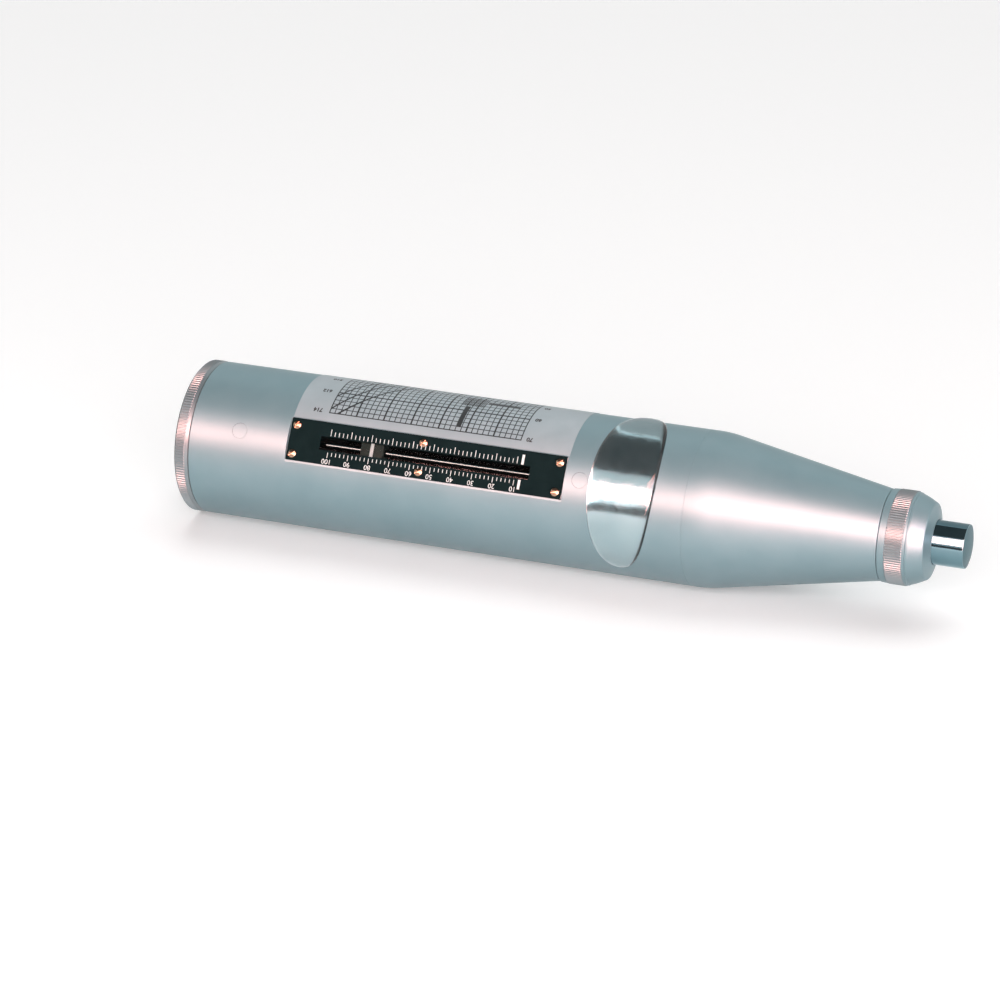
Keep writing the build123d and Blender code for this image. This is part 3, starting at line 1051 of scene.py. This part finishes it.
# The pieces inside keep their shapes and get their own finishes
inside = {
    ground_steel: ["two_part_ring", "guide_bar", "pawl_pin"],
    spring_wire: ["impact_spring", "buffer_spring"],
    dark_steel: ["hammer_mass", "pawl"],
    brass: ["guide_sleeve", "rider_leaf"],
    turned_bright: ["guide_disk"],
    felt: ["felt_washer"],
}
for finish, names in inside.items():
    for name in names:
        nodes[name].data.materials.clear()
        nodes[name].data.materials.append(finish)


# Floor, light and camera
middle_height = 0.03  # metres over the floor; the lamps face this point


def shown(tree):
    """One for what the camera sees, straight or through gloss or glass, and zero for the rest."""
    path = add(tree, "LightPath")
    seen = calc(tree, "MAXIMUM", path.outputs["Is Camera Ray"], path.outputs["Is Glossy Ray"])
    return calc(tree, "MAXIMUM", seen, path.outputs["Is Transmission Ray"])


def floor():
    """A pale floor that keeps the shadow of the hammer."""
    bpy.ops.mesh.primitive_plane_add(size=20, location=(0, 0, 0))
    ground = bpy.context.object
    ground.name = "floor"
    material, tree, shader = new_finish("pale_floor", Roughness=0.9, Emission_Color=(1, 1, 1, 1))
    seen = shown(tree)
    colour = colour_between(tree, seen, (0.45, 0.46, 0.46), (0.86, 0.87, 0.87))
    feed(tree, shader, Base_Color=colour, Emission_Strength=calc(tree, "MULTIPLY", seen, 0.20))
    ground.data.materials.append(material)


def sky():
    """White all round for what is seen and reflected, and a soft even fill for the rest."""
    world = bpy.data.worlds.new("studio")
    bpy.context.scene.world = world
    world.use_nodes = True
    tree = world.node_tree
    strength = calc(tree, "MULTIPLY_ADD", shown(tree), 0.81, 0.19)
    background = tree.nodes["Background"]
    background.inputs["Color"].default_value = (1, 1, 1, 1)
    tree.links.new(strength, background.inputs["Strength"])


def softbox(name, place, size, power, colour=(1, 1, 1), lights=True, shows=True):
    """A soft rectangular lamp that faces the hammer: it lights it, shows in its gloss, or both."""
    lamp = bpy.data.lights.new(name, "AREA")
    lamp.shape = "RECTANGLE"
    lamp.size, lamp.size_y = size
    lamp.energy = power
    lamp.color = colour
    holder = bpy.data.objects.new(name, lamp)
    holder.visible_diffuse = lights
    holder.visible_glossy = shows
    holder.location = place
    aim = Vector((0, 0, middle_height)) - Vector(place)
    holder.rotation_euler = aim.to_track_quat("-Z", "Y").to_euler()
    bpy.context.scene.collection.objects.link(holder)


def high_light():
    """Soft light from above and behind, even over the whole floor."""
    lamp = bpy.data.lights.new("high_light", "SUN")
    lamp.energy = 1.7
    lamp.angle = radians(60)
    holder = bpy.data.objects.new("high_light", lamp)
    holder.visible_glossy = False
    holder.rotation_euler = (radians(-26), 0, 0)
    bpy.context.scene.collection.objects.link(holder)


def dark_card(name, elevation, distance, height, tone):
    """A dim card that only shows in the metal, as an unlit part of a studio does."""
    bpy.ops.mesh.primitive_plane_add(size=1)
    card = bpy.context.object
    card.name = name
    card.location = (-0.3, -distance * cos(elevation), distance * sin(elevation) + middle_height)
    card.scale = (4.0, height, 1)
    card.rotation_euler = (pi / 2 - elevation, 0, 0)
    material, *_ = new_finish(
        name + "_paper", Roughness=1.0, Base_Color=(0, 0, 0, 1),
        Emission_Color=(tone, tone, tone, 1), Emission_Strength=1.0,
    )
    card.data.materials.append(material)
    card.visible_camera = False
    card.visible_diffuse = False
    card.visible_shadow = False


def photo_camera():
    """The camera at the viewing angle of the photograph."""
    data = bpy.data.cameras.new("photo_camera")
    data.lens = 142.56
    data.sensor_width = 36
    data.shift_y = -0.001
    camera = bpy.data.objects.new("photo_camera", data)
    camera.location = axis_start + Vector((0.54751, -1.16653, 0.53102))
    aim = Vector((-0.32202, 0.85946, -0.39703))
    camera.rotation_euler = aim.to_track_quat("-Z", "Y").to_euler()
    bpy.context.scene.collection.objects.link(camera)
    bpy.context.scene.camera = camera


floor()
sky()
softbox("front_softbox", (0.25, -1.00, 0.50), (1.2, 0.65), 11.0, shows=False)
softbox("front_strip", (-0.10, -1.05, 0.58), (2.0, 0.36), 33.0, (1.0, 0.40, 0.34), lights=False)
softbox("low_strip", (0.80, -1.00, 0.22), (1.1, 0.50), 20.0, (1.0, 0.42, 0.36), lights=False)
softbox("high_strip", (0.55, -0.85, 0.95), (1.1, 0.40), 14.0, (1.0, 0.42, 0.36), lights=False)
softbox("side_strip", (1.15, -0.75, 0.55), (1.0, 0.9), 24.0, (1.0, 0.60, 0.65), lights=False)
high_light()
dark_card("front_card", radians(5), 1.2, 0.25, 0.12)
dark_card("upper_card", radians(88), 1.5, 1.9, 0.10)
dark_card("back_card", radians(152), 1.5, 1.7, 0.55)
photo_camera()
bpy.context.scene.view_settings.view_transform = "Standard"
